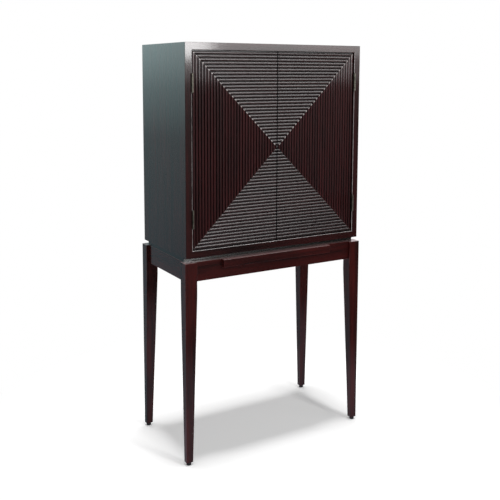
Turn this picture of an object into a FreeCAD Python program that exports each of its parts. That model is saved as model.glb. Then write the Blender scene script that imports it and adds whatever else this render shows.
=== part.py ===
"""Bar cabinet on a stand: a square case with two reeded doors and a pull-out serving shelf.

The frame: origin on the floor under the middle of the whole cabinet, X to the right, Y to the back,
Z up. Lengths are millimetres. Every size is a cell of the sheet; each piece is bound to those cells.
"""
import FreeCAD, Part
import os
import re

import Sketcher
from FreeCAD import Placement, Rotation, Vector

doc = FreeCAD.newDocument("bar_cabinet")
sheet = doc.addObject("Spreadsheet::Sheet", "sizes")

SIZES = {
    # case
    "case_width": 900, "case_height": 900, "case_depth": 444, "case_wall": 31,
    "back_thickness": 9, "back_rebate": 12, "arris": 1.2, "fit_clearance": 0.1,
    # riser between case and stand
    "riser_height": 19, "riser_side_inset": 5, "riser_front_inset": 34, "riser_rail": 80,
    # stand
    "stand_side_reach": 8, "stand_front_reach": 9, "stand_height": 889, "top_panel_thickness": 18,
    "apron_height": 83, "apron_thickness": 22, "apron_setback": 12,
    "tenon_length": 18, "tenon_height": 60, "tenon_thickness": 8, "tenon_lift": 13,
    "block_reach": 60, "block_height": 40,
    # legs and glides
    "leg_width": 55, "leg_depth": 48, "foot_width": 31, "foot_depth": 24,
    "taper_drop": 58, "foot_bevel": 2,
    "glide_diameter": 21, "glide_height": 12, "glide_bevel": 1.5,
    "shank_diameter": 8, "shank_length": 25,
    # pull-out serving shelf
    "shelf_front_width": 560, "shelf_front_height": 34, "shelf_front_proud": 9, "shelf_travel": 280,
    "board_thickness": 14, "board_side_inset": 6, "board_back_gap": 20, "slide_clearance": 0.3,
    "runner_wall": 16, "runner_ledge": 13, "ledge_thickness": 14, "runner_gap": 1,
    "stop_width": 200, "stop_depth": 20, "stop_height": 14,
    # doors
    "door_gap": 2, "meeting_gap": 2, "door_recess": 4, "core_thickness": 13,
    "ground_thickness": 3, "reed_height": 5.6, "reed_count": 29, "reed_quirk": 0.6, "edge_margin": 2,
    # hinges
    "hinge_length": 76, "hinge_inset": 128, "leaf_thickness": 2, "leaf_reach": 28,
    "knuckle_diameter": 9, "knuckle_proud": 5, "knuckle_clearance": 0.15, "pin_diameter": 3,
    "pin_clearance": 0.05, "tip_diameter": 7, "tip_height": 2.5,
    "screw_row": 21, "screw_spacing": 26,
    # wood screws
    "screw_diameter": 3, "screw_head": 6, "screw_length": 14, "screw_clearance": 0.08,
    "back_screw_length": 25,
    # shelves inside the case
    "shelf_thickness": 18, "shelf_setback": 42, "shelf_end_gap": 1, "shelf_back_gap": 3,
    "support_diameter": 5, "support_length": 18, "support_depth": 9, "support_inset": 50,
    "first_row": 352, "row_spacing": 80,
    # touch latches
    "latch_offset": 60, "latch_width": 24, "latch_height": 20, "latch_depth": 50,
    "latch_setback": 38, "plunger_diameter": 8, "plunger_clearance": 0.08, "plunger_length": 28,
    "plunger_travel": 4, "strike_width": 20, "strike_height": 14, "strike_thickness": 1.2,
    # bolts that hold the case on the stand
    "bolt_diameter": 6, "bolt_head": 13, "bolt_head_height": 4, "bolt_grip": 20, "bolt_spread": 160,
}
SUPPORT_ROWS = 4
SHELVES = (("lower_shelf", 0), ("upper_shelf", 3))
KNUCKLES = 5
CASE_LEAF_KNUCKLES = (0, 2, 4)
DOOR_LEAF_KNUCKLES = (1, 3)
SCREWS_IN_A_LEAF = (-1, 0, 1)
BACK_SCREWS_ON_A_SIDE = (-1, 0, 1)

for row, (alias, size) in enumerate(SIZES.items(), 1):
    sheet.set(f"A{row}", alias.replace("_", " "))
    sheet.set(f"B{row}", str(size))
    sheet.setAlias(f"B{row}", alias)
doc.recompute()


def bound(text):
    """The text of a size, with the sheet's name put before each size that it mentions."""
    return re.sub(r"[a-z][a-z_]+", lambda word: "sizes." + word[0], str(text))


def number(text):
    """What an expression of sizes comes to."""
    return float(sheet.evalExpression(bound(text)))


# Planes and places that several pieces share, as expressions of the sheet's sizes.
MIDDLE = "(shelf_front_proud/2)"
CASE_FRONT = f"({MIDDLE} - case_depth/2)"
CASE_BASE = "(stand_height + riser_height)"
HALF_STAND = "(case_width/2 + stand_side_reach)"
STAND_HALF_DEPTH = "(case_depth/2 + stand_front_reach)"
STAND_FRONT = f"({MIDDLE} - {STAND_HALF_DEPTH})"
STAND_BACK = f"({MIDDLE} + {STAND_HALF_DEPTH})"
APRON_FACE = f"({STAND_FRONT} + apron_setback)"
APRON_INNER = f"({APRON_FACE} + apron_thickness)"
APRON_BASE = "(stand_height - apron_height)"
PANEL_UNDER = "(stand_height - top_panel_thickness)"
BOARD_BASE = f"({PANEL_UNDER} - slide_clearance - board_thickness)"
SHELF_FRONT = f"({STAND_FRONT} - shelf_front_proud)"
SHELF_FRONT_BACK = f"({APRON_FACE} - slide_clearance)"
HALF_BOARD = "(shelf_front_width/2 - board_side_inset)"
OPENING_WIDE = "(case_width/2 - case_wall)"
OPENING_TALL = "(case_height/2 - case_wall)"
DOOR_WIDE = f"({OPENING_WIDE} - door_gap)"
DOOR_TALL = f"({OPENING_TALL} - door_gap)"
DOOR_CENTRE = f"({CASE_BASE} + case_height/2)"
MITRE_RISE = f"(meeting_gap/2*{DOOR_TALL}/{DOOR_WIDE})"
CORE_FRONT = f"({CASE_FRONT} + door_recess + reed_height + ground_thickness)"
CORE_BACK = f"({CORE_FRONT} + core_thickness)"
HINGE_Y = f"({CASE_FRONT} - knuckle_proud)"
HINGE_X = f"({OPENING_WIDE} - door_gap/2)"
HINGE_RISES = {"upper": "(case_height - hinge_inset - hinge_length)", "lower": "hinge_inset"}
LEAF_BACK = f"({HINGE_Y} + leaf_reach + fit_clearance)"
STRIKE_FACE = f"({CORE_BACK} + strike_thickness)"
PLUNGER_TIP = f"({STRIKE_FACE} + slide_clearance)"
LATCH_FRONT = f"({CASE_FRONT} + latch_setback)"
LATCH_CENTRE = f"({CASE_BASE} + case_height - case_wall - latch_height/2)"
SHELF_START = f"({CASE_FRONT} + shelf_setback)"
SHELF_DEPTH = "(case_depth - back_thickness - shelf_back_gap - shelf_setback)"
FIRST_ROW = "(case_wall + first_row)"
SCREW_HOLE = "(screw_diameter + 2*screw_clearance)"
SIDES = {"left": -1, "right": 1}
ENDS = {"front": -1, "rear": 1}

nodes = []


def node(item, label):
    """Name a finished sub-part and list it for export."""
    item.Label = label
    nodes.append(item)
    return item


def place(item, x, y, z, turn=0, about=Vector(0, 0, 1)):
    """Put a piece at a point bound to the sheet, turned by whole degrees about an axis."""
    item.Placement = Placement(Vector(), Rotation(about, turn))
    for letter, text in zip("xyz", (x, y, z)):
        item.setExpression(f"Placement.Base.{letter}", bound(text))
    return item


def block(label, low, size):
    """A plain board or rail: a box with its lowest corner and its three sides bound to the sheet."""
    box = doc.addObject("Part::Box", label)
    for side, text in zip(("Length", "Width", "Height"), size):
        box.setExpression(side, bound(text))
    return place(box, *low)


def body(label, x="0", y="0", z="0", turn=0, about=Vector(0, 0, 1)):
    """An empty PartDesign body at its place."""
    return place(doc.addObject("PartDesign::Body", label), x, y, z, turn, about)


def sketch(part, plane, offset="0"):
    """An empty sketch on one of the body's own planes, moved along that plane's normal."""
    drawing = part.newObject("Sketcher::SketchObject", f"{part.Name}_sketch")
    origin_plane = next(item for item in part.Origin.OriginFeatures if item.Role == f"{plane}_Plane")
    drawing.AttachmentSupport = [(origin_plane, "")]
    drawing.MapMode = "FlatFace"
    drawing.setExpression("AttachmentOffset.Base.z", bound(offset))
    return drawing


def pin_point(drawing, line, end, point):
    """Tie one point of a sketch to its two coordinates."""
    for kind, text in zip(("DistanceX", "DistanceY"), point):
        rule = Sketcher.Constraint(kind, -1, 1, line, end, number(text))
        drawing.setExpression(f"Constraints[{drawing.addConstraint(rule)}]", bound(text))


def polygon(drawing, points):
    """A closed outline of straight lines, each corner bound to the sheet."""
    corners = [Vector(number(x), number(y), 0) for x, y in points]
    following = corners[1:] + corners[:1]
    lines = [drawing.addGeometry(Part.LineSegment(a, b), False) for a, b in zip(corners, following)]
    for line, neighbour in zip(lines, lines[1:] + lines[:1]):
        drawing.addConstraint(Sketcher.Constraint("Coincident", line, 2, neighbour, 1))
    for line, point in zip(lines, points):
        pin_point(drawing, line, 1, point)
    return drawing


def rectangle(drawing, left, low, right, high):
    return polygon(drawing, [(left, low), (right, low), (right, high), (left, high)])


def circle(drawing, x, y, diameter):
    centre = Vector(number(x), number(y), 0)
    ring = drawing.addGeometry(Part.Circle(centre, Vector(0, 0, 1), number(diameter) / 2))
    pin_point(drawing, ring, 3, (x, y))
    rule = Sketcher.Constraint("Diameter", ring, number(diameter))
    drawing.setExpression(f"Constraints[{drawing.addConstraint(rule)}]", bound(diameter))
    return drawing


def pad(part, drawing, length, both=False, back=False):
    """Thicken a sketch along its normal, to both sides, or backwards."""
    feature = part.newObject("PartDesign::Pad", f"{part.Name}_pad")
    feature.Profile = drawing
    feature.Midplane = both
    feature.Reversed = back
    feature.setExpression("Length", bound(length))
    return feature


def pocket(part, drawing, reach):
    """Cut a sketch away for the same reach to both sides of its plane."""
    feature = part.newObject("PartDesign::Pocket", f"{part.Name}_pocket")
    feature.Profile = drawing
    feature.Midplane = True
    feature.setExpression("Length", bound(f"2*({reach})"))
    return feature


def turned(part, points):
    """A turned piece: a half section in X and Z, revolved about the body's Z axis."""
    profile = polygon(sketch(part, "XZ"), points)
    feature = part.newObject("PartDesign::Revolution", f"{part.Name}_turning")
    feature.Profile = profile
    feature.ReferenceAxis = (profile, ["V_Axis"])
    feature.Angle = 360
    return feature


def eased(part, wanted, size="arris", kind="Fillet"):
    """Round or bevel the edges of a body that a test picks out."""
    doc.recompute()
    base = part.Tip
    edges = [f"Edge{i}" for i, edge in enumerate(base.Shape.Edges, 1) if wanted(edge.BoundBox)]
    feature = part.newObject(f"PartDesign::{kind}", f"{part.Name}_{kind.lower()}")
    feature.Base = (base, edges)
    feature.setExpression("Radius" if kind == "Fillet" else "Size", bound(size))
    return feature


def countersunk_holes(part, drawing, back=False):
    """Screw holes right through, with a cone for the screw's flat head."""
    doc.recompute()
    feature = part.newObject("PartDesign::Hole", f"{part.Name}_holes")
    feature.Profile = drawing
    feature.Reversed = back
    feature.ThreadType = "None"
    feature.DepthType = "ThroughAll"
    feature.HoleCutType = "Countersink"
    feature.HoleCutCustomValues = True
    feature.HoleCutCountersinkAngle = 90
    feature.setExpression("Diameter", bound(SCREW_HOLE))
    feature.setExpression("HoleCutDiameter", bound("screw_head + 2*screw_clearance"))
    return feature


def group(label, master, places):
    """Copies of one turned piece as one node, each a separate solid."""
    doc.recompute()
    copies = []
    for spot, axis, angle in places:
        copy = master.Shape.copy()
        copy.Placement = Placement(Vector(*map(number, spot)), Rotation(axis, angle))
        copies.append(copy)
    feature = doc.addObject("Part::Feature", label)
    feature.Shape = Part.makeCompound(copies)
    return node(feature, label)


X_AXIS, Y_AXIS, Z_AXIS = Vector(1, 0, 0), Vector(0, 1, 0), Vector(0, 0, 1)


# ---- Case: four mitred boards, a back in a rebate, two shelves on pins -------------------------

def case_board(label, corners):
    """One side of the case: mitred at both ends, eased in front and rebated for the back."""
    board = body(label, "0", CASE_FRONT, CASE_BASE)
    pad(board, polygon(sketch(board, "XZ"), corners), "case_depth", back=True)
    flat, run = number("case_wall"), number("case_wall*2")
    eased(board, lambda box: box.YMax < flat / run and max(box.XLength, box.ZLength) > run)
    lip = "(case_wall - back_rebate)"
    rebate = sketch(board, "XZ", "-case_depth")
    rectangle(rebate, f"-(case_width/2 - {lip})", lip, f"case_width/2 - {lip}", f"case_height - {lip}")
    pocket(board, rebate, "back_thickness")
    return node(board, label)


def back_screw_spots():
    """Where the back is screwed on: three screws along each side, in the middle of the rebate."""
    across = "(case_width/2 - case_wall + back_rebate/2)"
    up = "(case_height/2 - case_wall + back_rebate/2)"
    for step in BACK_SCREWS_ON_A_SIDE:
        for side in SIDES.values():
            yield f"{step}*{across}*2/3", f"case_height/2 + {side}*{up}"
            yield f"{side}*{across}", f"case_height/2 + {step}*{up}*2/3"


def back_screw_holes(board):
    drawing = sketch(board, "XZ", "-(case_depth - back_thickness)")
    for x, z in back_screw_spots():
        circle(drawing, x, z, SCREW_HOLE)
    pocket(board, drawing, "back_screw_length - back_thickness + fit_clearance")


inner, outer = "(case_width/2 - case_wall)", "case_width/2"
far, near = "(case_height - case_wall)", "case_wall"
case_bottom = case_board("case_bottom", [
    (f"-{outer}", "0"), (outer, "0"), (inner, near), (f"-{inner}", near)])
case_top = case_board("case_top", [
    (f"-{inner}", far), (inner, far), (outer, "case_height"), (f"-{outer}", "case_height")])
case_sides = {
    name: case_board(f"case_{name}_side", [
        (f"{side}*{outer}", "0"), (f"{side}*{inner}", near),
        (f"{side}*{inner}", far), (f"{side}*{outer}", "case_height")])
    for name, side in SIDES.items()}
for board in (case_bottom, case_top, *case_sides.values()):
    back_screw_holes(board)

for name, side in SIDES.items():
    board = case_sides[name]
    mortises = sketch(board, "YZ", f"{side}*{inner}")
    for rise in HINGE_RISES.values():
        rectangle(mortises, "-case_wall", f"{rise} - fit_clearance",
                  f"{LEAF_BACK} - {CASE_FRONT}", f"{rise} + hinge_length + fit_clearance")
    pocket(board, mortises, "leaf_thickness")
    pilots = sketch(board, "YZ", f"{side}*{inner}")
    for rise in HINGE_RISES.values():
        for step in SCREWS_IN_A_LEAF:
            circle(pilots, "screw_row - knuckle_proud",
                   f"{rise} + hinge_length/2 + {step}*screw_spacing", SCREW_HOLE)
    pocket(board, pilots, "screw_length + fit_clearance")
    rows = sketch(board, "YZ", f"{side}*{inner}")
    for row in range(SUPPORT_ROWS):
        for y in ("shelf_setback + support_inset", f"shelf_setback + {SHELF_DEPTH} - support_inset"):
            circle(rows, y, f"{FIRST_ROW} + {row}*row_spacing", "support_diameter + 2*fit_clearance")
    pocket(board, rows, "support_depth + fit_clearance")

BOLT_X = "(case_width/2 - riser_side_inset - riser_rail/2)"
BOLT_SPOTS = [(f"{side}*{BOLT_X}", f"{end}*bolt_spread/2") for side in (-1, 1) for end in (-1, 1)]


def bolt_holes(part, reach, middle="0"):
    """Clearance holes for the four case bolts, from the body's own floor plane."""
    drawing = sketch(part, "XY")
    for x, y in BOLT_SPOTS:
        circle(drawing, x, f"{middle} + {y}", "bolt_diameter + 2*fit_clearance")
    return pocket(part, drawing, reach)


bolt_holes(case_bottom, "bolt_grip + fit_clearance", "case_depth/2")

case_back = body("case_back", "0", f"{CASE_FRONT} + case_depth", CASE_BASE)
edge = "(case_wall - back_rebate + fit_clearance)"
pad(case_back, rectangle(sketch(case_back, "XZ"), f"-(case_width/2 - {edge})", edge,
                         f"case_width/2 - {edge}", f"case_height - {edge}"), "back_thickness")
holes = sketch(case_back, "XZ")
for x, z in back_screw_spots():
    circle(holes, x, z, SCREW_HOLE)
countersunk_holes(case_back, holes, back=True)
node(case_back, "case_back")

for label, row in SHELVES:
    underside = f"{CASE_BASE} + {FIRST_ROW} + {row}*row_spacing + support_diameter/2"
    node(block(label, (f"-({inner} - shelf_end_gap)", SHELF_START, underside),
               (f"2*({inner} - shelf_end_gap)", SHELF_DEPTH, "shelf_thickness")), label)

# ---- Riser and stand ---------------------------------------------------------------------------

RISER_WIDE = "(case_width/2 - riser_side_inset)"
RISER_DEEP = "(case_depth/2 - riser_front_inset)"
for name, end in ENDS.items():
    low = f"{MIDDLE} + {end}*{RISER_DEEP} - {int(end > 0)}*riser_rail"
    node(block(f"riser_{name}", (f"-{RISER_WIDE}", low, "stand_height"),
               (f"2*{RISER_WIDE}", "riser_rail", "riser_height")), f"riser_{name}")
for name, side in SIDES.items():
    rail = body(f"riser_{name}", "0", MIDDLE, "stand_height")
    plan = rectangle(sketch(rail, "XY"), f"{side}*({RISER_WIDE} - riser_rail)",
                     f"riser_rail - {RISER_DEEP}", f"{side}*{RISER_WIDE}", f"{RISER_DEEP} - riser_rail")
    pad(rail, plan, "riser_height")
    bolt_holes(rail, "riser_height")
    node(rail, f"riser_{name}")

PANEL_WIDE = f"({HALF_STAND} - apron_setback - apron_thickness)"
PANEL_DEEP = f"({STAND_HALF_DEPTH} - apron_setback - apron_thickness)"
NOTCH_WIDE = f"({HALF_STAND} - leg_width)"
NOTCH_DEEP = f"({STAND_HALF_DEPTH} - leg_depth)"

# The top panel lies inside the aprons, flush with their top edges, and is notched round the legs.
top_panel = body("stand_top_panel", "0", MIDDLE, PANEL_UNDER)
corners = []
for side, end in ((-1, -1), (-1, 1), (1, 1), (1, -1)):
    cut = [(f"{side}*{NOTCH_WIDE}", f"{end}*{PANEL_DEEP}"),
           (f"{side}*{NOTCH_WIDE}", f"{end}*{NOTCH_DEEP}"),
           (f"{side}*{PANEL_WIDE}", f"{end}*{NOTCH_DEEP}")]
    corners += cut if side * end > 0 else cut[::-1]
pad(top_panel, polygon(sketch(top_panel, "XY"), corners), "top_panel_thickness")
bolt_holes(top_panel, "top_panel_thickness")
node(top_panel, "stand_top_panel")

TENON_SETBACK = "((apron_thickness - tenon_thickness)/2)"
TENON_BASE = f"({APRON_BASE} + tenon_lift - glide_height)"


def leg(label, side, end):
    """A leg, upright on its two outer faces and tapered on its two inner faces.

    Its own origin is the outer corner of its foot, so inward is -side along X and -end along Y.
    """
    x, y = -side, -end
    post = body(label, f"{side}*{HALF_STAND}", f"{MIDDLE} + {end}*{STAND_HALF_DEPTH}", "glide_height")
    height = "(stand_height - glide_height)"
    pad(post, rectangle(sketch(post, "XY"), "0", "0", f"{x}*leg_width", f"{y}*leg_depth"), height)
    start = f"({APRON_BASE} - taper_drop - glide_height)"
    for plane, way, top, foot in (("XZ", x, "leg_width", "foot_width"),
                                  ("YZ", y, "leg_depth", "foot_depth")):
        wedge = [(f"{way}*{foot}", "0"), (f"{way}*{top}", start),
                 (f"{way}*2*{top}", start), (f"{way}*2*{top}", "0")]
        pocket(post, polygon(sketch(post, plane), wedge), "2*leg_width + 2*leg_depth")
    low, high = f"{TENON_BASE} - fit_clearance", f"{TENON_BASE} + tenon_height + fit_clearance"
    thin = f"(apron_setback + {TENON_SETBACK} - fit_clearance)"
    thick = f"(apron_setback + {TENON_SETBACK} + tenon_thickness + fit_clearance)"
    mortise = rectangle(sketch(post, "YZ", f"{x}*leg_width"), f"{y}*{thin}", low, f"{y}*{thick}", high)
    pocket(post, mortise, "tenon_length + fit_clearance")
    mortise = rectangle(sketch(post, "XZ", f"{-y}*leg_depth"), f"{x}*{thin}", low, f"{x}*{thick}", high)
    pocket(post, mortise, "tenon_length + fit_clearance")
    socket = circle(sketch(post, "XY"), f"{x}*foot_width/2", f"{y}*foot_depth/2",
                    "shank_diameter + 2*fit_clearance")
    pocket(post, socket, "shank_length + fit_clearance")
    sole, near_zero = number("foot_width/2"), number("fit_clearance")
    eased(post, lambda box: box.ZMax < near_zero and max(box.XLength, box.YLength) > sole,
          "foot_bevel", "Chamfer")

    def runs_up_an_outer_face(box):
        on_face = min(max(abs(box.XMin), abs(box.XMax)), max(abs(box.YMin), abs(box.YMax))) < near_zero
        return on_face and box.ZLength > number("leg_depth")
    eased(post, runs_up_an_outer_face)
    return node(post, label)


def glide(label, side, end):
    """A moulded glide under a foot, with its shank up inside the leg."""
    foot = body(label, f"{side}*({HALF_STAND} - foot_width/2)",
                f"{MIDDLE} + {end}*({STAND_HALF_DEPTH} - foot_depth/2)", "0")
    radius, shank, top = "glide_diameter/2", "shank_diameter/2", "(glide_height + shank_length)"
    turned(foot, [("0", "0"), (f"{radius} - glide_bevel", "0"), (radius, "glide_bevel"),
                  (radius, "glide_height"), (shank, "glide_height"), (shank, top), ("0", top)])
    return node(foot, label)


for end_name, end in ENDS.items():
    for side_name, side in SIDES.items():
        leg(f"{end_name}_{side_name}_leg", side, end)
        glide(f"{end_name}_{side_name}_glide", side, end)


def apron(label, half, x, y, turn, slotted=False):
    """A rail between two legs, tenoned into both; the front one has a slot for the serving shelf."""
    rail = body(label, x, y, APRON_BASE, turn)
    pad(rail, rectangle(sketch(rail, "XZ"), f"-{half}", "0", half, "apron_height"), "apron_thickness",
        back=True)
    end = f"({half} + tenon_length)"
    tenon = rectangle(sketch(rail, "XZ", f"-{TENON_SETBACK}"),
                      f"-{end}", "tenon_lift", end, "tenon_lift + tenon_height")
    pad(rail, tenon, "tenon_thickness", back=True)
    if slotted:
        wide, high = f"({HALF_BOARD} + slide_clearance)", f"({PANEL_UNDER} - {APRON_BASE})"
        low = f"{high} - board_thickness - 2*slide_clearance"
        pocket(rail, rectangle(sketch(rail, "XZ"), f"-{wide}", low, wide, high), "apron_thickness")
    return node(rail, label)


apron("front_apron", NOTCH_WIDE, "0", APRON_FACE, 0, slotted=True)
apron("rear_apron", NOTCH_WIDE, "0", f"{STAND_BACK} - apron_setback", 180)
apron("left_apron", NOTCH_DEEP, f"-({HALF_STAND} - apron_setback)", MIDDLE, -90)
apron("right_apron", NOTCH_DEEP, f"{HALF_STAND} - apron_setback", MIDDLE, 90)

# A glued block fills each inner corner, from the leg's inner edge to both aprons.
block_gap_x = "(leg_width - apron_setback - apron_thickness)"
block_gap_y = "(leg_depth - apron_setback - apron_thickness)"
corner_blocks = []
for side, end in ((-1, -1), (1, -1), (1, 1), (-1, 1)):
    x, y = -side, -end
    brace = body("corner_block", f"{side}*{NOTCH_WIDE}", f"{MIDDLE} + {end}*{NOTCH_DEEP}",
                 f"{PANEL_UNDER} - block_height")
    plan = [("0", "0"), ("0", f"-{y}*{block_gap_y}"), (f"{x}*block_reach", f"-{y}*{block_gap_y}"),
            (f"-{x}*{block_gap_x}", f"{y}*block_reach"), (f"-{x}*{block_gap_x}", "0")]
    pad(brace, polygon(sketch(brace, "XY"), plan), "block_height")
    corner_blocks.append(brace)
blocks = doc.addObject("Part::Compound", "corner_blocks")
blocks.Links = corner_blocks
node(blocks, "corner_blocks")

# ---- Pull-out serving shelf --------------------------------------------------------------------

for name, side in SIDES.items():
    runner = body(f"{name}_shelf_runner", f"{side}*({HALF_BOARD} + runner_gap)",
                  APRON_INNER, PANEL_UNDER)
    ledge_top = "-(board_thickness + 2*slide_clearance)"
    floor = f"{ledge_top} - ledge_thickness"
    wall, ledge = f"{side}*runner_wall", f"{-side}*runner_ledge"
    section = polygon(sketch(runner, "XZ"), [
        ("0", "0"), (wall, "0"), (wall, floor), (ledge, floor), (ledge, ledge_top), ("0", ledge_top)])
    pad(runner, section, f"2*{PANEL_DEEP}", back=True)
    node(runner, f"{name}_shelf_runner")

board_end = f"({MIDDLE} + {PANEL_DEEP} - board_back_gap)"
node(block("serving_shelf_board", (f"-{HALF_BOARD}", SHELF_FRONT_BACK, BOARD_BASE),
           (f"2*{HALF_BOARD}", f"{board_end} - {SHELF_FRONT_BACK}", "board_thickness")),
     "serving_shelf_board")
node(block("serving_shelf_stop", ("-stop_width/2", f"{APRON_INNER} + shelf_travel + slide_clearance",
                                  f"{BOARD_BASE} - stop_height"),
           ("stop_width", "stop_depth", "stop_height")), "serving_shelf_stop")
shelf_front = body("serving_shelf_front", "0", SHELF_FRONT, "stand_height - shelf_front_height")
pad(shelf_front, rectangle(sketch(shelf_front, "XZ"), "-shelf_front_width/2", "0", "shelf_front_width/2",
                           "shelf_front_height"), f"{SHELF_FRONT_BACK} - {SHELF_FRONT}", back=True)
eased(shelf_front, lambda box: box.YMax < number("fit_clearance"))
node(shelf_front, "serving_shelf_front")

# ---- Doors: a core panel faced with three mitred boards of reeding ------------------------------

def leaf_mortises(part, side, reach):
    """The two recesses for the hinge leaves in a door's outer edge, cut from the core's front plane."""
    drawing = sketch(part, "XZ")
    for rise in HINGE_RISES.values():
        low = f"({rise} - case_height/2)"
        rectangle(drawing, f"{side}*({DOOR_WIDE} - leaf_thickness)", f"{low} - fit_clearance",
                  f"{side}*{OPENING_WIDE}", f"{low} + hinge_length + fit_clearance")
    return pocket(part, drawing, reach)


def door_core(label, side):
    """The plain panel of a door, with the mortises and pilot holes of its hinges."""
    core = body(label, "0", CORE_FRONT, DOOR_CENTRE)
    face = rectangle(sketch(core, "XZ"), f"{side}*meeting_gap/2", f"-{DOOR_TALL}",
                     f"{side}*{DOOR_WIDE}", DOOR_TALL)
    pad(core, face, "core_thickness", back=True)
    leaf_mortises(core, side, f"{LEAF_BACK} - {CORE_FRONT}")
    pilots = sketch(core, "YZ", f"{side}*{DOOR_WIDE}")
    for rise in HINGE_RISES.values():
        for step in SCREWS_IN_A_LEAF:
            circle(pilots, f"{HINGE_Y} + screw_row - {CORE_FRONT}",
                   f"{rise} - case_height/2 + hinge_length/2 + {step}*screw_spacing", SCREW_HOLE)
    pocket(core, pilots, "screw_length + fit_clearance")
    return node(core, label)


def reed_section(drawing, pitch, upright):
    """The half-round section of one reed: a chord on the ground board and an arc in front of it.

    With chord c and height h the arc's radius is (c*c/4 + h*h) / 2h.
    """
    half = f"(({pitch} - reed_quirk)/2)"
    ground, crown = "-ground_thickness", "-(ground_thickness + reed_height)"
    if upright:
        ends, top = [(f"-{half}", ground), (half, ground)], ("0", crown)
    else:
        ends, top = [(ground, half), (ground, f"-{half}")], (crown, "0")
    start, peak, finish = (Vector(number(x), number(y), 0) for x, y in (ends[0], top, ends[1]))
    chord = drawing.addGeometry(Part.LineSegment(finish, start), False)
    arc = drawing.addGeometry(Part.Arc(start, peak, finish), False)
    drawing.addConstraint(Sketcher.Constraint("Coincident", chord, 2, arc, 1))
    drawing.addConstraint(Sketcher.Constraint("Coincident", arc, 2, chord, 1))
    pin_point(drawing, chord, 2, ends[0])
    pin_point(drawing, chord, 1, ends[1])
    radius = f"({half}*{half} + reed_height*reed_height)/(2*reed_height)"
    rule = drawing.addConstraint(Sketcher.Constraint("Radius", arc, number(radius)))
    drawing.setExpression(f"Constraints[{rule}]", bound(radius))
    return drawing


def reeding(label, side, way):
    """One mitred board of reeds. way is 0 for the board beside the centre, 1 above it, -1 below it.

    Reeds stand a pitch apart from the pattern's centre outwards. The board's mitres run from the
    centre to the corners of the door pair, so the three boards of a door continue each other's reeds.
    """
    board = body(label, "0", CORE_FRONT, DOOR_CENTRE)
    middle = f"{side}*meeting_gap/2"
    if way == 0:
        outline = [(middle, MITRE_RISE), (f"{side}*{DOOR_WIDE}", DOOR_TALL),
                   (f"{side}*{DOOR_WIDE}", f"-{DOOR_TALL}"), (middle, f"-{MITRE_RISE}")]
        pitch = f"(({DOOR_WIDE} - edge_margin)/(reed_count + 0.5))"
        plane, axis, length, backwards = "XY", "H_Axis", f"2*{DOOR_TALL}", side < 0
    else:
        outline = [(middle, f"{way}*{MITRE_RISE}"), (middle, f"{way}*{DOOR_TALL}"),
                   (f"{side}*{DOOR_WIDE}", f"{way}*{DOOR_TALL}")]
        pitch = f"(({DOOR_TALL} - edge_margin)/(reed_count + 0.5))"
        plane, axis, length, backwards = "YZ", "V_Axis", f"2*{DOOR_WIDE}", way < 0
    pad(board, polygon(sketch(board, "XZ"), outline), "ground_thickness")
    section = reed_section(sketch(board, plane), pitch, way == 0)
    reed = pad(board, section, length, both=True)
    rows = board.newObject("PartDesign::LinearPattern", f"{label}_rows")
    rows.Originals = [reed]
    rows.Direction = (section, [axis])
    rows.Reversed = backwards
    rows.setExpression("Length", bound(f"reed_count*{pitch}"))
    rows.setExpression("Occurrences", bound("reed_count + 1"))
    board.Tip = rows
    waste = rectangle(sketch(board, "XZ"), f"-2*{DOOR_WIDE}", f"-2*{DOOR_TALL}",
                      f"2*{DOOR_WIDE}", f"2*{DOOR_TALL}")
    pocket(board, polygon(waste, outline), "ground_thickness + 2*reed_height")
    if way == 0:
        leaf_mortises(board, side, "ground_thickness + reed_height")
    return node(board, label)


for name, side in SIDES.items():
    door_core(f"{name}_door_panel", side)
    reeding(f"{name}_door_upper_reeding", side, 1)
    reeding(f"{name}_door_side_reeding", side, 0)
    reeding(f"{name}_door_lower_reeding", side, -1)
    corner = (f"{side}*latch_offset - strike_width/2", CORE_BACK, f"{LATCH_CENTRE} - strike_height/2")
    node(block(f"{name}_door_strike", corner, ("strike_width", "strike_thickness", "strike_height")),
         f"{name}_door_strike")

# ---- Hinges ------------------------------------------------------------------------------------

def hinge_leaf(label, side, plate, rise, owned):
    """One leaf of a butt hinge: a plate on one side of the pin, and its share of the knuckles."""
    leaf = body(label, f"{side}*{HINGE_X}", HINGE_Y, f"{CASE_BASE} + {rise}")
    inner_face, outer_face = f"{plate}*door_gap/2", f"{plate}*(door_gap/2 + leaf_thickness)"
    plate_plan = rectangle(sketch(leaf, "XY"), inner_face, "knuckle_clearance", outer_face, "leaf_reach")
    pad(leaf, plate_plan, "hinge_length")
    pad(leaf, circle(sketch(leaf, "XY"), "0", "0", "knuckle_diameter"), "hinge_length")
    for knuckle in range(KNUCKLES):
        if knuckle not in owned:
            room = sketch(leaf, "XY", f"({knuckle} + 0.5)*hinge_length/{KNUCKLES}")
            circle(room, "0", "0", "knuckle_diameter + 4*knuckle_clearance")
            pocket(leaf, room, f"hinge_length/{2 * KNUCKLES} + knuckle_clearance")
    bore = circle(sketch(leaf, "XY"), "0", "0", "pin_diameter + 2*pin_clearance")
    pocket(leaf, bore, "2*hinge_length")
    holes = sketch(leaf, "YZ", inner_face)
    for step in SCREWS_IN_A_LEAF:
        circle(holes, "screw_row", f"hinge_length/2 + {step}*screw_spacing", SCREW_HOLE)
    countersunk_holes(leaf, holes, back=plate > 0)
    return node(leaf, label)


for level, rise in HINGE_RISES.items():
    for name, side in SIDES.items():
        hinge_leaf(f"{level}_{name}_hinge_case_leaf", side, side, rise, CASE_LEAF_KNUCKLES)
        hinge_leaf(f"{level}_{name}_hinge_door_leaf", side, -side, rise, DOOR_LEAF_KNUCKLES)

# ---- Turned pieces that repeat: pins, screws, bolts and shelf supports --------------------------

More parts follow.
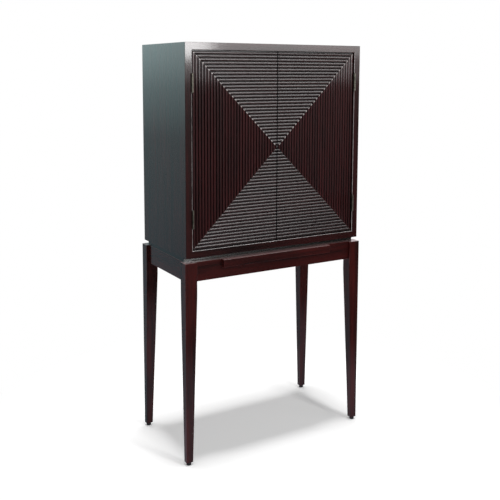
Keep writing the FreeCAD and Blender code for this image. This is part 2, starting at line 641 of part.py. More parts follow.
pin = body("pin_master")
tip, shaft = "tip_diameter/2", "pin_diameter/2"
turned(pin, [
    ("0", "-tip_height"), ("tip_diameter/4", "-tip_height"), (tip, "-tip_height/2"), (tip, "0"),
    (shaft, "0"), (shaft, "hinge_length"), (tip, "hinge_length"), (tip, "hinge_length + tip_height/2"),
    ("tip_diameter/4", "hinge_length + tip_height"), ("0", "hinge_length + tip_height")])
group("hinge_pins", pin, [
    ((f"{side}*{HINGE_X}", HINGE_Y, f"{CASE_BASE} + {rise}"), Z_AXIS, 0)
    for rise in HINGE_RISES.values() for side in SIDES.values()])


def screw_master(label, length):
    """A flat-headed screw, its head's face at the origin and its point up."""
    screw = body(label)
    turned(screw, [("0", "0"), ("screw_head/2", "0"), ("screw_diameter/2", "(screw_head - screw_diameter)/2"),
                   ("screw_diameter/2", f"{length} - screw_diameter/2"), ("0", length)])
    return screw


hinge_screw = screw_master("hinge_screw_master", "screw_length")
back_screw = screw_master("back_screw_master", "back_screw_length")


def hinge_screw_places(side, face, outward):
    """The screws of one side's two leaves, with their heads in a face at X = face."""
    for rise in HINGE_RISES.values():
        for step in SCREWS_IN_A_LEAF:
            spot = (f"{side}*{face}", f"{HINGE_Y} + screw_row",
                    f"{CASE_BASE} + {rise} + hinge_length/2 + {step}*screw_spacing")
            yield spot, Y_AXIS, 90 * side * outward


group("hinge_case_screws", hinge_screw, [
    spot for side in SIDES.values() for spot in hinge_screw_places(side, OPENING_WIDE, 1)])
for name, side in SIDES.items():
    group(f"{name}_door_hinge_screws", hinge_screw, hinge_screw_places(side, DOOR_WIDE, -1))
group("back_screws", back_screw, [
    ((x, f"{CASE_FRONT} + case_depth", f"{CASE_BASE} + {z}"), X_AXIS, 90) for x, z in back_screw_spots()])

bolt = body("bolt_master")
bolt_end = "(bolt_head_height + top_panel_thickness + riser_height + bolt_grip)"
turned(bolt, [
    ("0", "0"), ("bolt_head/2", "0"), ("bolt_head/2", "bolt_head_height"),
    ("bolt_diameter/2", "bolt_head_height"), ("bolt_diameter/2", bolt_end), ("0", bolt_end)])
group("case_bolts", bolt, [
    ((x, f"{MIDDLE} + {y}", f"{PANEL_UNDER} - bolt_head_height"), Z_AXIS, 0) for x, y in BOLT_SPOTS])

support = body("support_master")
turned(support, [("0", "0"), ("support_diameter/2", "0"), ("support_diameter/2", "support_length"),
                 ("0", "support_length")])
group("shelf_supports", support, [
    ((f"{side}*({inner} + support_depth)", f"{SHELF_START} + {y}",
      f"{CASE_BASE} + {FIRST_ROW} + {row}*row_spacing"), Y_AXIS, -90 * side)
    for _, row in SHELVES for side in SIDES.values()
    for y in ("support_inset", f"({SHELF_DEPTH} - support_inset)")])

# ---- Touch latches: a body under the case top and a sprung plunger behind each door --------------

for name, side in SIDES.items():
    latch = body(f"{name}_latch_body", f"{side}*latch_offset", LATCH_FRONT, LATCH_CENTRE)
    pad(latch, rectangle(sketch(latch, "XZ"), "-latch_width/2", "-latch_height/2", "latch_width/2",
                         "latch_height/2"), "latch_depth", back=True)
    bore = circle(sketch(latch, "XZ"), "0", "0", "plunger_diameter + 2*plunger_clearance")
    pocket(latch, bore, f"{PLUNGER_TIP} + plunger_length + plunger_travel + slide_clearance - {LATCH_FRONT}")
    node(latch, f"{name}_latch_body")
    plunger = body(f"{name}_latch_plunger", f"{side}*latch_offset", PLUNGER_TIP, LATCH_CENTRE, -90, X_AXIS)
    rim = "plunger_diameter/2"
    turned(plunger, [("0", "0"), (f"{rim}*3/4", "0"), (rim, f"{rim}/4"), (rim, "plunger_length"),
                     ("0", "plunger_length")])
    node(plunger, f"{name}_latch_plunger")

# ---- Check and export ---------------------------------------------------------------------------

doc.recompute()
for item in doc.Objects:
    if {"Invalid", "Error"} & set(item.State):
        raise RuntimeError(f"{item.Label} failed: {item.State}")
os.makedirs("parts", exist_ok=True)
for item in nodes:
    if item.Shape.isNull() or not item.Shape.isValid() or not item.Shape.Solids:
        raise RuntimeError(f"{item.Label} has no valid solid")
    item.Shape.exportStep(f"parts/{item.Label}.step")
print(f"{len(nodes)} sub-parts written")
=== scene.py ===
"""Dresses the bar cabinet: lacquered mahogany, brass butt hinges, screws and a plain studio round it."""
import math

import bpy
import numpy as np
from mathutils import Matrix, Vector


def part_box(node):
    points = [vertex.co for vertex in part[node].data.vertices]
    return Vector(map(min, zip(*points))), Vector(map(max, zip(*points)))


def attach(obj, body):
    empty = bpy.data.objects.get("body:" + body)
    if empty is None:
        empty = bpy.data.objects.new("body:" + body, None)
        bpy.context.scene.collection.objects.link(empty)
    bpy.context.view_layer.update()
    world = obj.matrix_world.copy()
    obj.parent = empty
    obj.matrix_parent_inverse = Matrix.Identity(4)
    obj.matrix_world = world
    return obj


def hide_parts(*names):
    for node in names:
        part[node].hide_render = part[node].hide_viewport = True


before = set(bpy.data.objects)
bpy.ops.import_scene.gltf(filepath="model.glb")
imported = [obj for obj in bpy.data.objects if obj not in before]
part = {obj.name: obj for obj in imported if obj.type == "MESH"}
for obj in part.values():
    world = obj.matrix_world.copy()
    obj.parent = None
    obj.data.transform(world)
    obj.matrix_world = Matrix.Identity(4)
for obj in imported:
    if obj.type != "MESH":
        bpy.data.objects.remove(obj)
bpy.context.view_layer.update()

# ---- Studio --------------------------------------------------------------------------------------
# The cabinet stands on pale paper under one lamp that hangs very high, so its shadow lies close round
# the feet. Two softboxes on the right light the front, and two panels shine in the lacquer alone.
CAMERA_PLACE = (-1.8128, -3.0490, 1.6872)
CAMERA_YAW, CAMERA_PITCH, CAMERA_ROLL = 30.551, 6.61, 0.16
FILM_WIDTH, LENS, LENS_SHIFT = 36, 55.12, -0.1786
SIGHT_END = 200
WHITE = (1, 1, 1, 1)


def look(forward_yaw, pitch_down, roll):
    """Camera axes: forward from yaw and pitch, then right and up turned about forward by the roll."""
    yaw, pitch, roll = (math.radians(angle) for angle in (forward_yaw, pitch_down, roll))
    forward = Vector((math.sin(yaw) * math.cos(pitch), math.cos(yaw) * math.cos(pitch), -math.sin(pitch)))
    level = Vector((math.cos(yaw), -math.sin(yaw), 0))
    upright = level.cross(forward)
    right = level * math.cos(roll) + upright * math.sin(roll)
    return Matrix((right, right.cross(forward), -forward)).transposed().to_4x4()


camera = bpy.data.objects.new("camera", bpy.data.cameras.new("camera"))
bpy.context.scene.collection.objects.link(camera)
camera.matrix_world = Matrix.Translation(CAMERA_PLACE) @ look(CAMERA_YAW, CAMERA_PITCH, CAMERA_ROLL)
camera.data.sensor_width = FILM_WIDTH
camera.data.lens = LENS
camera.data.shift_y = LENS_SHIFT
camera.data.clip_end = SIGHT_END
bpy.context.scene.camera = camera
bpy.context.scene.view_settings.view_transform = "Standard"


def wire(tree, node, inputs):
    """Links a node's inputs from sockets, or sets them to plain values."""
    for name, value in inputs.items():
        if isinstance(value, bpy.types.NodeSocket):
            tree.links.new(value, node.inputs[name])
        else:
            node.inputs[name].default_value = value


def add(tree, kind, inputs=(), **settings):
    """One node, with its settings by name and its inputs wired."""
    node = tree.nodes.new(kind)
    for name, value in settings.items():
        setattr(node, name, value)
    wire(tree, node, dict(inputs))
    return node


def new_material(name):
    """A node material, with its node tree and its principled shader."""
    material = bpy.data.materials.new(name)
    material.use_nodes = True
    tree = material.node_tree
    return material, tree, tree.nodes["Principled BSDF"]


def maths(tree, operation, *values):
    """One operation on numbers."""
    return add(tree, "ShaderNodeMath", dict(enumerate(values)), operation=operation).outputs[0]


def spread(tree, value, low, high, first=0.0, last=1.0, smooth=False):
    """A number that runs from first to last while a value runs from low to high, and is held outside."""
    return add(tree, "ShaderNodeMapRange",
               {"Value": value, "From Min": low, "From Max": high, "To Min": first, "To Max": last},
               interpolation_type="SMOOTHSTEP" if smooth else "LINEAR").outputs["Result"]


def ramp(tree, factor, *stops):
    """A colour ramp through (place, colour) stops."""
    node = add(tree, "ShaderNodeValToRGB", {"Fac": factor})
    scale = node.color_ramp
    while len(scale.elements) < len(stops):
        scale.elements.new(1.0)
    for element, (place, colour) in zip(scale.elements, stops):
        element.position = place
        element.color = (*colour, 1)
    return node.outputs["Color"]


def mixed(tree, share, first, second):
    """The first colour, with that share of the second in its place."""
    return add(tree, "ShaderNodeMix", {"Factor": share, 6: first, 7: second}, data_type="RGBA").outputs[2]


def object_place(tree):
    """The place of a point on its object."""
    return add(tree, "ShaderNodeTexCoord").outputs["Object"]


def coordinates(tree, vector):
    """The three numbers of a vector."""
    return add(tree, "ShaderNodeSeparateXYZ", {"Vector": vector}).outputs[:]


def distance(tree, place):
    """How far a place is from the middle of the floor."""
    return add(tree, "ShaderNodeVectorMath", {0: place}, operation="LENGTH").outputs["Value"]


def seen_directly(tree):
    """One for camera, glossy and transmission rays, and nothing for the rays that carry light."""
    path = add(tree, "ShaderNodeLightPath")
    seen = path.outputs["Is Camera Ray"]
    for other in ("Is Glossy Ray", "Is Transmission Ray"):
        seen = maths(tree, "MAXIMUM", seen, path.outputs[other])
    return seen


def studio_piece(name, points, material):
    """A floor or a screen, no part of the cabinet: a grid of points joined into four-sided faces."""
    rows, columns = points.shape[:2]
    index = np.arange(rows * columns).reshape(rows, columns)
    faces = np.stack((index[:-1, :-1], index[:-1, 1:], index[1:, 1:], index[1:, :-1]), -1).reshape(-1, 4)
    mesh = bpy.data.meshes.new(name)
    mesh.from_pydata(points.reshape(-1, 3).tolist(), [], faces.tolist())
    mesh.materials.append(material)
    piece = bpy.data.objects.new(name, mesh)
    bpy.context.scene.collection.objects.link(piece)
    return piece


# The floor is a pale matt paper, with a little light of its own for the eye and for reflections. Far
# from the cabinet it passes into plain white.
PAPER = (0.95, 0.95, 0.95, 1)
PAPER_GLOW = 0.145
FADE_START, FADE_END = 0.85, 1.35
FLOOR_REACH = 40.0
pale, tree, shader = new_material("pale_floor")
wire(tree, shader, {"Base Color": PAPER, "Roughness": 1.0, "Specular IOR Level": 0.0})
seen = seen_directly(tree)
strength = maths(tree, "MULTIPLY", seen, PAPER_GLOW)
glow = add(tree, "ShaderNodeEmission", {"Color": WHITE, "Strength": strength})
near = add(tree, "ShaderNodeAddShader", {0: shader.outputs[0], 1: glow.outputs[0]})
far = add(tree, "ShaderNodeEmission", {"Color": WHITE, "Strength": 1.0})
fade = spread(tree, distance(tree, object_place(tree)), FADE_START, FADE_END, smooth=True)
blend = add(tree, "ShaderNodeMixShader",
            {0: maths(tree, "MULTIPLY", fade, seen), 1: near.outputs[0], 2: far.outputs[0]})
wire(tree, tree.nodes["Material Output"], {"Surface": blend.outputs[0]})
pale.cycles.emission_sampling = "NONE"
x, y = np.meshgrid((-FLOOR_REACH, FLOOR_REACH), (-FLOOR_REACH, FLOOR_REACH))
studio_piece("floor", np.stack((x, y, 0 * x), -1), pale)

# The air all round is white to the eye, and gives the cabinet a third of that as even light.
EVEN_LIGHT = 0.34
world = bpy.data.worlds.new("studio")
bpy.context.scene.world = world
world.use_nodes = True
tree = world.node_tree
wire(tree, tree.nodes["Background"],
     {"Color": WHITE, "Strength": spread(tree, seen_directly(tree), 0.0, 1.0, EVEN_LIGHT, 1.0)})

# A low black screen stands all round at three metres, and cloth lies on the floor inside it, grey near
# the feet and black further out. On the right both are pale past the grey cloth. Behind the left side
# the screen is tall and grey and gets lighter upwards. Only reflections see screens and cloth.
SCREEN_RADIUS, SCREEN_HEIGHT, SCREEN_TALLER = 3.0, 1.62, 1.6
SCREEN_STEPS = 144
CLOTH_RADII = 0.02, 0.6, 1.2, 2.0
CLOTH_THICKNESS = 0.003
CLOTH_DARKENS = 0.9, 1.7
RIGHT, RIGHT_SECTOR = math.radians(18), (0.80, 0.93)
BACK_LEFT, BACK_LEFT_SECTOR = math.radians(122), (0.55, 0.85)
BLACK = (0.012, 0.010, 0.010, 1)
GREY_CLOTH = (0.14, 0.135, 0.16, 1)
RIGHT_SCREEN = (0.62, 0.55, 0.58, 1)
GREY_SCREEN_TOP = 2.6
GREY_SCREEN = ((0.0, (0.075, 0.100, 0.115)), (0.45, (0.12, 0.17, 0.18)), (0.60, (0.26, 0.37, 0.38)),
               (0.75, (0.60, 0.81, 0.82)), (1.0, (0.8, 0.9, 0.9)))
SCREEN_GLOW = 2.0


def sector(tree, flat, angle, limits):
    """How far a level direction points towards an angle: the cosine between them, run over the limits."""
    toward = add(tree, "ShaderNodeVectorMath", {0: flat, 1: (math.cos(angle), math.sin(angle), 0)},
                 operation="DOT_PRODUCT").outputs["Value"]
    return spread(tree, toward, *limits, smooth=True)


screen, tree, shader = new_material("screen")
tree.nodes.remove(shader)
place = object_place(tree)
flat = add(tree, "ShaderNodeVectorMath", {0: place, 1: (1, 1, 0)}, operation="MULTIPLY").outputs["Vector"]
flat = add(tree, "ShaderNodeVectorMath", {0: flat}, operation="NORMALIZE").outputs["Vector"]
outside = spread(tree, distance(tree, place), *CLOTH_DARKENS, smooth=True)
on_right = maths(tree, "MULTIPLY", sector(tree, flat, RIGHT, RIGHT_SECTOR), outside)
graded = ramp(tree, spread(tree, coordinates(tree, place)[2], 0.0, GREY_SCREEN_TOP), *GREY_SCREEN)
tint = mixed(tree, outside, GREY_CLOTH, BLACK)
tint = mixed(tree, on_right, tint, RIGHT_SCREEN)
tint = mixed(tree, sector(tree, flat, BACK_LEFT, BACK_LEFT_SECTOR), tint, graded)
glow = add(tree, "ShaderNodeEmission", {"Color": tint, "Strength": SCREEN_GLOW})
wire(tree, tree.nodes["Material Output"], {"Surface": glow.outputs[0]})
screen.cycles.emission_sampling = "NONE"

# The points run all round, and from the middle of the cloth outwards and then up the screen. Towards
# the back left the screen is raised by the smooth step 3t^2 - 2t^3.
start, full = BACK_LEFT_SECTOR
turn = np.linspace(0, 2 * np.pi, SCREEN_STEPS + 1)
tall = np.clip((np.cos(turn - BACK_LEFT) - start) / (full - start), 0, 1)
top = SCREEN_HEIGHT + SCREEN_TALLER * tall * tall * (3 - 2 * tall)
radius = np.array((*CLOTH_RADII, *[SCREEN_RADIUS] * 4))
up = np.array([0, 0, 0, 0, 0, 0.33, 0.67, 1.0])
points = np.stack((np.outer(radius, np.cos(turn)), np.outer(radius, np.sin(turn)),
                   CLOTH_THICKNESS + np.outer(up, top)), -1)
surround = studio_piece("screens", points, screen)
surround.visible_camera = surround.visible_diffuse = surround.visible_transmission = False
surround.visible_shadow = surround.visible_volume_scatter = False


def lamp(name, place, aim, width, height, watts, gloss_only=False):
    """A rectangular softbox at a place, facing a point."""
    data = bpy.data.lights.new(name, "AREA")
    data.shape, data.size, data.size_y, data.energy = "RECTANGLE", width, height, watts
    box = bpy.data.objects.new(name, data)
    bpy.context.scene.collection.objects.link(box)
    box.location = place
    box.rotation_euler = (Vector(aim) - Vector(place)).to_track_quat("-Z", "Y").to_euler()
    box.visible_diffuse = not gloss_only


lamp("lamp_above", (0.0, 0.1, 20.0), (0, 0.1, 0), 3.6, 3.6, 2900)
lamp("strip_front", (2.2, -3.6, 2.20), (0.2, 0, 2.1), 3.2, 0.7, 25)
lamp("softbox_front", (1.10, -3.6, 2.68), (0, 0, 2.46), 0.62, 1.75, 50)
lamp("panel_above_right", (1.9, -1.6, 4.3), (0, -0.2, 1.3), 1.8, 1.3, 45, gloss_only=True)
lamp("panel_left", (-1.0, -3.8, 1.25), (-0.2, 0, 1.25), 1.8, 1.7, 46, gloss_only=True)

# ---- Case boards ---------------------------------------------------------------------------------
# Four boards of mahogany, mitred at the corners and glued. They are stained dark and sprayed with a
# clear lacquer. A thin pale line along the inner edges of the frame's front is a painted highlight.
MAHOGANY = (0.0035, 0.0008, 0.0008), (0.034, 0.0030, 0.0028)
OWN_PLACE = ((0, 0, 0), (0, 0, 0))

# Patches to the metre: of the figure and the pores across and along the grain, then of the broad shade,
# of the pale edges and of the ripples in the lacquer. Under it the stain hardly shines.
FIGURE, PORES, BROAD, EDGE_PATCHES, RIPPLES = (26, 1.6), (900, 45), 3.1, 38.0, 210.0
STAIN_SHINE, STAIN_ROUGHNESS = 0.1, (0.38, 0.52)
FACING_UP = 0.85, 0.97


def noise(tree, place, scale, detail, roughness=0.5, distortion=0.0):
    """Soft random patches, about scale of them to the metre."""
    return add(tree, "ShaderNodeTexNoise",
               {"Vector": place, "Scale": scale, "Detail": detail, "Roughness": roughness,
                "Distortion": distortion}).outputs["Fac"]


def scaled(tree, colour, factor):
    """A colour times a number."""
    return add(tree, "ShaderNodeVectorMath", {0: colour, "Scale": factor},
               operation="SCALE").outputs["Vector"]


def raised(tree, height, strength, rise):
    """The direction that a surface faces when a height lifts it by up to a rise."""
    return add(tree, "ShaderNodeBump",
               {"Height": height, "Strength": strength, "Distance": rise}).outputs["Normal"]


def edge_distance(tree, place, low, high):
    """How near a place is to a box's edges: the middle one of its distances to three pairs of faces.

    Of a, b and c it is the larger of min(a, b) and min(max(a, b), c).
    """
    a, b, c = [maths(tree, "MINIMUM", maths(tree, "SUBTRACT", value, least),
                     maths(tree, "SUBTRACT", most, value))
               for value, least, most in zip(coordinates(tree, place), low, high)]
    return maths(tree, "MAXIMUM", maths(tree, "MINIMUM", a, b),
                 maths(tree, "MINIMUM", maths(tree, "MAXIMUM", a, b), c))


def lacquered(name, grain, offset, box, stain=MAHOGANY, haze=0.09, wear=0.6, pale_width=(0.0004, 0.0022),
              pale_colour=None, relief=None, top_light=None):
    """Stained wood under lacquer, with its grain along x, y or z.

    The figure is noise stretched along the grain, from the dark stain to the light one. The pores are
    finer noise stretched the same way, and darken it. Broad noise lightens and darkens both. A paler
    colour is mixed in, most on the edges of a box and none past the pale width, which noise varies. In
    the default colour it is wear; where a pale colour is given it is a painted highlight on the arrises.
    Relief is a function that paints shade and highlight onto raised work. Top light is what the faces
    that look straight up are paler by: painted light falling from above. The more haze, the duller the
    lacquer.
    """
    material, tree, shader = new_material(name)
    place = object_place(tree)
    dark, light = stain

    def stretched(frequency, shift):
        across, along = frequency
        scale = [across] * 3
        scale["xyz".index(grain)] = along
        return add(tree, "ShaderNodeMapping",
                   {"Vector": place, "Location": (shift, shift * 0.7, shift * 1.3),
                    "Scale": scale}).outputs["Vector"]

    figure = noise(tree, stretched(FIGURE, offset), 1.0, 6.0, roughness=0.62, distortion=0.8)
    pores = noise(tree, stretched(PORES, offset + 3), 1.0, 2.0)
    broad = noise(tree, place, BROAD, 2.0)
    middle = [(a + b) / 2 for a, b in zip(dark, light)]
    wood = ramp(tree, figure, (0.30, dark), (0.52, middle), (0.76, light))
    colour = scaled(tree, wood, spread(tree, broad, 0.3, 0.7, 0.8, 1.2))
    colour = scaled(tree, colour, spread(tree, pores, 0.6, 0.72, 1.0, 0.45))
    wire(tree, shader, {"Coat Weight": 1.0, "Coat Roughness": haze, "Specular IOR Level": STAIN_SHINE})
    if relief:
        colour = relief(tree, shader, place, colour)
    # Pale edges: wear, and on the case boards a painted highlight.
    width = spread(tree, noise(tree, place, EDGE_PATCHES, 3.0), 0.35, 0.75, *pale_width)
    edge = spread(tree, edge_distance(tree, place, *box), 0.0, width, wear, 0.0)
    pale_edge = pale_colour or [2.6 * value + 0.035 for value in light]
    colour = mixed(tree, edge, colour, (*pale_edge, 1))
    # Painted light: the faces that look straight up are made paler, as if lit from above.
    if top_light:
        facing = add(tree, "ShaderNodeNewGeometry").outputs["Normal"]
        upward = spread(tree, coordinates(tree, facing)[2], *FACING_UP)
        lit_top = add(tree, "ShaderNodeVectorMath", {0: wood, 1: top_light}, operation="ADD").outputs["Vector"]
        colour = mixed(tree, upward, colour, lit_top)
    normal = raised(tree, maths(tree, "ADD", pores, noise(tree, place, RIPPLES, 1.0)), 0.06, 0.0006)
    wire(tree, shader, {"Base Color": colour, "Roughness": spread(tree, broad, 0.0, 1.0, *STAIN_ROUGHNESS),
                        "Normal": normal, "Coat Normal": normal})
    return material


def finish_in(material, *names):
    """Puts one material on CAD pieces."""
    for name in names:
        for held in part[name].material_slots:
            held.material = material


def finish_boards(names, grain, beyond=OWN_PLACE, **finish):
    """Gives each board a lacquer of its own, so that its grain and its pale edges are its own.

    Beyond moves the low and the high corner of the box whose edges are pale.
    """
    for turn, name in enumerate(names):
        box = (np.array(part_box(name)) + beyond).tolist()
        finish_in(lacquered(f"{name}_lacquer", grain, 1.7 * turn + len(name), box, **finish), name)


# Only the inner edges get the thin pale painted highlight: the box whose edges are painted reaches 10 mm
# past the outer ones.
ARRIS_HIGHLIGHT = dict(wear=0.9, pale_width=(0.0016, 0.0032), pale_colour=(0.55, 0.52, 0.52))
finish_boards(["case_left_side"], "z", beyond=((-0.01, 0, 0), (0, 0, 0)), **ARRIS_HIGHLIGHT)
finish_boards(["case_right_side"], "z", beyond=((0, 0, 0), (0.01, 0, 0)), **ARRIS_HIGHLIGHT)
finish_boards(["case_bottom"], "x", beyond=((0, 0, -0.01), (0, 0, 0)), **ARRIS_HIGHLIGHT)
finish_boards(["case_top"], "x", wear=0.0)

# ---- Case back and inside shelves ----------------------------------------------------------------
# The back is a thin board, let into a rebate of the case and held by twelve screws. The two shelves
# lie loose on brass pins. Inside, the stain is lighter and the lacquer duller.
INSIDE = (0.022, 0.0065, 0.005), (0.055, 0.017, 0.012)
SATIN = dict(stain=INSIDE, haze=0.3)
finish_boards(["case_back"], "z", stain=INSIDE, haze=0.35, wear=0.3)
finish_boards(["lower_shelf", "upper_shelf"], "x", **SATIN)

# ---- Riser and stand -----------------------------------------------------------------------------
# A low near-black frame lifts the case off the stand. The stand's legs and aprons are solid mahogany,
# joined by tenons and a little lighter than the case, and their top faces carry painted light from
# above. The panel and the blocks inside the stand are plain wood.
CORNERS = [f"{end}_{side}" for end in ("front", "rear") for side in ("left", "right")]
NEAR_BLACK = dict(stain=((0.0022, 0.0018, 0.0017), (0.0050, 0.0036, 0.0033)), wear=0.0)
STAND = dict(stain=((0.008, 0.0009, 0.0008), (0.056, 0.0032, 0.0026)), top_light=(0.20, 0.135, 0.135))
PLAIN = dict(stain=((0.055, 0.024, 0.013), (0.12, 0.058, 0.033)), haze=0.5, wear=0.2)
finish_boards(["riser_front", "riser_rear"], "x", **NEAR_BLACK)
finish_boards(["riser_left", "riser_right"], "y", **NEAR_BLACK)
finish_boards([f"{corner}_leg" for corner in CORNERS], "z", **STAND)
finish_boards(["front_apron", "rear_apron"], "x", **STAND)
finish_boards(["left_apron", "right_apron"], "y", **STAND)
finish_boards(["stand_top_panel", "corner_blocks"], "x", **PLAIN)

# ---- Glides --------------------------------------------------------------------------------------
# A round glide of black moulded plastic stands under each leg. Its shank is pressed up into the end
# of the leg.


def moulded(name, colour, roughness, pebbles):
    """Moulded plastic: a skin of fine pebbles, so many to the metre, which vary colour and sheen."""
    material, tree, shader = new_material(name)
    pebble = noise(tree, object_place(tree), pebbles, 2.0)
    dark = tuple(value * 0.75 for value in colour)
    wire(tree, shader, {"Base Color": ramp(tree, pebble, (0.35, dark), (0.65, colour)),
                        "Roughness": spread(tree, pebble, 0.0, 1.0, roughness - 0.1, roughness + 0.1),
                        "Normal": raised(tree, pebble, 0.25, 0.0002)})
    return material


black_plastic = moulded("black_moulded", (0.012, 0.012, 0.013), 0.5, 1800)
finish_in(black_plastic, *[f"{corner}_glide" for corner in CORNERS])

# ---- Serving shelf -------------------------------------------------------------------------------
# A board slides on two L-shaped runners. Its front strip stands a little proud of the apron, and a
# stop block under it keeps it from being pulled right out.
finish_boards(["serving_shelf_front"], "x", **STAND)
finish_boards(["serving_shelf_board"], "x", **SATIN)
finish_boards(["serving_shelf_stop"], "x", **PLAIN)
finish_boards(["left_shelf_runner", "right_shelf_runner"], "y", **PLAIN)

# ---- Doors ---------------------------------------------------------------------------------------
# Each door is a flat panel faced with three boards of half-round reeding, mitred to one another so
# that both doors together show squares inside squares. The upright boards shine more than the others.
finish_boards(["left_door_panel", "right_door_panel"], "z")

# Each pair is a start and an end. Depths: where the painted groove shade thins out, and where the
# crowns take the painted mitre highlight. Distances: from the line of a mitre, and from the seam of the
# doors. At the mitres the first share of painted highlight is given below the middle of the case, and
# the second, where more light falls, above it.
CASE_MIDDLE = 1.358
REED_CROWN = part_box("left_door_side_reeding")[0][1]
GROOVE_SHADE_DEPTHS = REED_CROWN + 0.0044, REED_CROWN + 0.0005
GROOVE_SHADE_STRENGTH = 0.06, 1.15
CROWNS = REED_CROWN + 0.0010, REED_CROWN + 0.0002
MITRE_LINE = 0.0012, 0.0030
BELOW, ABOVE = -0.01, 0.01
MITRE_HIGHLIGHT_SHARES = 0.12, 0.85
MITRE_HIGHLIGHT_COLOUR = (0.42, 0.38, 0.36, 1)
SEAM = 0.0018, 0.0034
SEAM_SHADE_STRENGTH = 0.05, 1.0


def reeded(tree, shader, place, colour):
    """Reeding with painted shade in its grooves, which thins out from the ground to the crowns.

    Where the distances from the middle of the case across and up are equal, at the mitres, the crowns
    get a painted highlight, stronger above the middle. The rounded edges where the doors meet get
    painted shade, and hardly any lacquer.
    """
    across, depth, height = coordinates(tree, place)
    across = maths(tree, "ABSOLUTE", across)
    above = maths(tree, "SUBTRACT", height, CASE_MIDDLE)
    # Painted shade: the colour darkens down into the grooves.
    colour = scaled(tree, colour, spread(tree, depth, *GROOVE_SHADE_DEPTHS, *GROOVE_SHADE_STRENGTH, smooth=True))
    # Painted highlight: at the mitres the crowns are paler, more so above the middle.
    off_mitre = maths(tree, "ABSOLUTE", maths(tree, "SUBTRACT", across, maths(tree, "ABSOLUTE", above)))
    wear = spread(tree, above, BELOW, ABOVE, *MITRE_HIGHLIGHT_SHARES)
    rubbed = maths(tree, "MULTIPLY", spread(tree, off_mitre, *MITRE_LINE, wear, 0.0),
                   spread(tree, depth, *CROWNS))
    colour = mixed(tree, rubbed, colour, MITRE_HIGHLIGHT_COLOUR)
    # Painted shade: near the seam where the doors meet the colour darkens, and the same number thins the
    # coat.
    lacquer = spread(tree, across, *SEAM, *SEAM_SHADE_STRENGTH)
    wire(tree, shader, {"Coat Weight": lacquer})
    return scaled(tree, colour, lacquer)


# The reeding across is coloured greyer and less red than the upright reeding of the same wood: a painted
# stand-in for the grey sheen that light from above leaves on it.
ACROSS_SHEEN_STAIN = (0.007, 0.0024, 0.0024), (0.022, 0.0058, 0.0056)
UPRIGHT_STAIN = (0.011, 0.0010, 0.0013), (0.034, 0.0020, 0.0026)
finish_boards([f"{side}_door_{which}_reeding" for side in ("left", "right") for which in ("upper", "lower")],
              "x", stain=ACROSS_SHEEN_STAIN, haze=0.26, wear=0.0, relief=reeded)
finish_boards(["left_door_side_reeding", "right_door_side_reeding"], "z", stain=UPRIGHT_STAIN, wear=0.0,
              relief=reeded)

# ---- Hinges, bolts and screws --------------------------------------------------------------------
# Butt hinges of rolled brass, aged to a dull greenish brown, with brass pins and screws. The shelf pins
# are brass too. The strike plates, the bolts and the screws of the back are zinc plated.
TARNISH, BRUSHING = 60.0, 1500.0


def metal(name, bright, dull, roughness):
    """Aged metal: patches of tarnish, duller and rougher, over a finely brushed base."""
    material, tree, shader = new_material(name)
    place = object_place(tree)
    patch = noise(tree, place, TARNISH, 5.0, roughness=0.65)
    wire(tree, shader, {"Base Color": ramp(tree, patch, (0.4, bright), (0.62, dull)), "Metallic": 1.0,
                        "Roughness": spread(tree, patch, 0.0, 1.0, roughness - 0.08, roughness + 0.2),
                        "Normal": raised(tree, noise(tree, place, BRUSHING, 1.0), 0.1, 0.0001)})
    return material


brass = metal("aged_brass", (0.145, 0.138, 0.112), (0.065, 0.064, 0.054), 0.36)
finish_in(brass, "hinge_pins", "shelf_supports", *[name for name in part if name.endswith("_leaf")])
steel = metal("zinc_plate", (0.5, 0.5, 0.52), (0.33, 0.33, 0.34), 0.3)
finish_in(steel, "case_bolts", "left_door_strike", "right_door_strike")

# Radii of a screw's head, shank and tip. What follows is in radii of the head: the rings of its face, and
# the arms of the cross recess, which reach ARM to both sides of their lines with flanks of FLANK, start
# ARM_END out and get deeper inwards over ARM_FLOOR, at ARM_SLOPE. Each screw stops TURN_MORE further on.
HEAD, SHANK, TIP = 0.003, 0.0015, 0.00006
SCREW_STEPS, SHARP_FROM = 96, math.radians(32)
FACE_RINGS = np.array([0.02, 0.06, 0.1, 0.14, 0.2, 0.3, 0.4, 0.5, 0.58, 0.64, 0.7, 0.85, 1.0])
ARM, FLANK, ARM_END, ARM_FLOOR, ARM_SLOPE = 0.13, 0.05, 0.66, 0.5, 1.6
TURN_MORE = 0.9


def countersunk_screw(length):
    """Rings of points for one screw, its head's face at height 0 and its point upwards.

    At radius r and angle t the nearest arm's line is r times the smaller of |sin t| and |cos t| away,
    and r times the larger one is the way along it.
    """
    turn = np.linspace(0, 2 * np.pi, SCREW_STEPS + 1)[:-1]
    sine, cosine = abs(np.sin(turn)), abs(np.cos(turn))
    aside = np.outer(FACE_RINGS, np.minimum(sine, cosine))
    along = np.outer(FACE_RINGS, np.maximum(sine, cosine))
    recess = ARM_SLOPE * np.clip((ARM - aside) / FLANK, 0, 1) * np.clip(ARM_END - along, 0, ARM_FLOOR)
    radius = np.concatenate((HEAD * FACE_RINGS, [SHANK, SHANK, TIP]))
    shaft = np.outer([HEAD - SHANK, length - SHANK, length], np.ones(len(turn)))
    return np.stack((np.outer(radius, np.cos(turn)), np.outer(radius, np.sin(turn)),
                     np.concatenate((HEAD * recess, shaft))), -1)


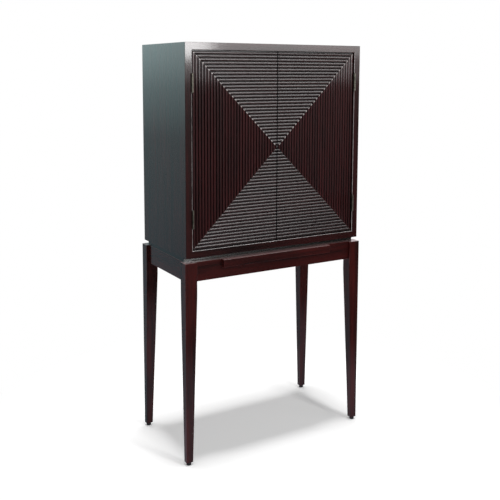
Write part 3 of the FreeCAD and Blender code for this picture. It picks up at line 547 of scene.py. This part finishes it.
def screws(node, body, material, length, places):
    """The screws of one node, each at its head's centre, pointing one way and stopped at its own turn."""
    rings = countersunk_screw(length)
    count, around = rings.shape[:2]
    index = np.arange(count * around).reshape(count, around)
    ahead = np.roll(index, -1, 1)
    sides = np.stack((index[:-1], ahead[:-1], ahead[1:], index[1:]), -1).reshape(-1, 4).tolist()
    faces = sides + [index[0, ::-1].tolist(), index[-1].tolist()]
    points, loops = [], []
    for number, (centre, way) in enumerate(places):
        across = np.cross((0, 0, 1), way)
        over = np.cross(way, across)
        swing = TURN_MORE * number
        first = across * math.cos(swing) + over * math.sin(swing)
        second = over * math.cos(swing) - across * math.sin(swing)
        points.append(rings.reshape(-1, 3) @ np.array([first, second, way]) + centre)
        loops += [[corner + number * count * around for corner in face] for face in faces]
    mesh = bpy.data.meshes.new(f"{node}_turned")
    mesh.from_pydata(np.concatenate(points).tolist(), [], loops)
    mesh.shade_smooth()
    mesh.set_sharp_from_angle(angle=SHARP_FROM)
    mesh.materials.append(material)
    piece = bpy.data.objects.new(f"{node}_turned", mesh)
    bpy.context.scene.collection.objects.link(piece)
    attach(piece, body)
    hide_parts(node)


# The hinge screws' heads lie flush in the leaves, three to a leaf, all at one depth in the doorway.
HINGE_SCREW, BACK_SCREW = 0.014, 0.025
HINGE_HEIGHTS, HINGE_STEP = (1.074, 1.642), 0.026
CASE_LEAF, DOOR_LEAF, LEAF_DEPTH = 0.419, 0.417, -0.2015
rows = [height + step * HINGE_STEP for height in HINGE_HEIGHTS for step in (-1, 0, 1)]
screws("hinge_case_screws", "cabinet", brass, HINGE_SCREW,
       [((side * CASE_LEAF, LEAF_DEPTH, z), (side, 0, 0)) for side in (-1, 1) for z in rows])
for name, side in (("left", -1), ("right", 1)):
    screws(f"{name}_door_hinge_screws", f"{name}_door", brass, HINGE_SCREW,
           [((side * DOOR_LEAF, LEAF_DEPTH, z), (-side, 0, 0)) for z in rows])

# The back's twelve screws stand in its rim, three along each side.
BACK_FACE, RIM = 0.2265, 0.425
rim = [(step * 2 * RIM / 3, side * RIM) for step in (-1, 0, 1) for side in (-1, 1)]
screws("back_screws", "cabinet", steel, BACK_SCREW,
       [((x, BACK_FACE, CASE_MIDDLE + z), (0, -1, 0)) for x, z in rim + [pair[::-1] for pair in rim]])

# ---- Touch latches -------------------------------------------------------------------------------
# Under the top of the case each door has a touch latch: a black moulded body with a sprung grey
# plunger, which the strike plate on the door presses in.
finish_in(black_plastic, "left_latch_body", "right_latch_body")
finish_in(moulded("grey_moulded", (0.3, 0.3, 0.29), 0.4, 1500), "left_latch_plunger", "right_latch_plunger")
